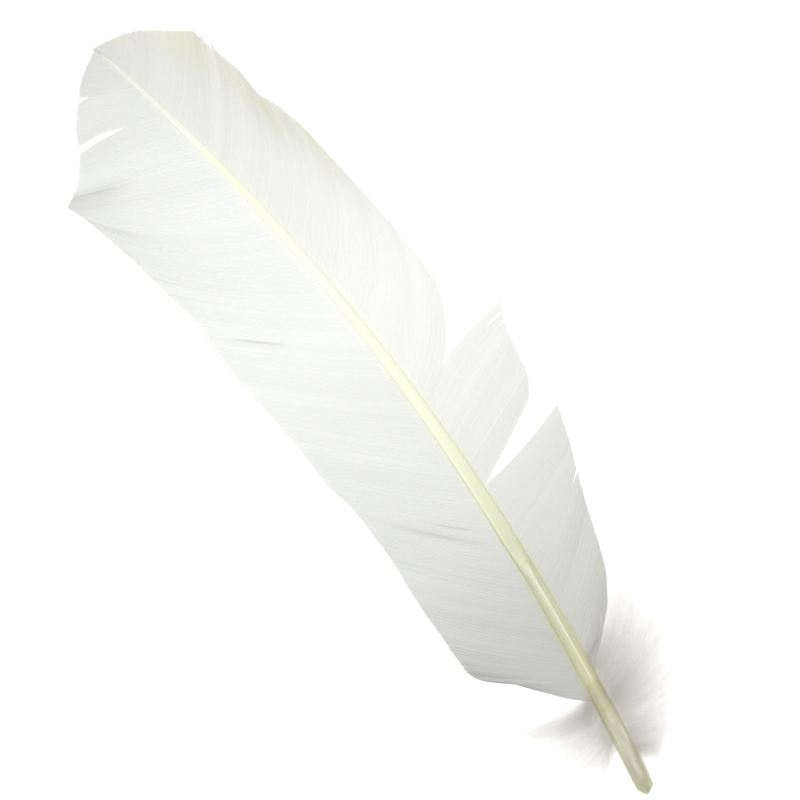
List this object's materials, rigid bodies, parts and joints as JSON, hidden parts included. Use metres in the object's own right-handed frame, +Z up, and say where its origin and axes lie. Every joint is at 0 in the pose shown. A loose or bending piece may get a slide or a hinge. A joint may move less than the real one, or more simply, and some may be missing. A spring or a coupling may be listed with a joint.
{
  "type": "turkey wing quill",
  "caption": "White wing feather lying on its hollow side: bowed horn shaft, broad vanes with splits in the edge, soft down at the base.",
  "frame": {"origin": "on the surface that the feather lies on, under the middle of its bounding box", "axes": "+Z up, +Y from the calamus end to the tip, +X towards the outer vane"},
  "size_m": [0.0942, 0.3, 0.0136],
  "materials": {
    "vane": "matte white keratin barbs, faintly translucent",
    "shaft": "smooth pale yellow horn with a soft gloss",
    "down": "loose white down"
  },
  "bodies": {
    "root": {"feather": "vane"}
  },
  "joints": []
}
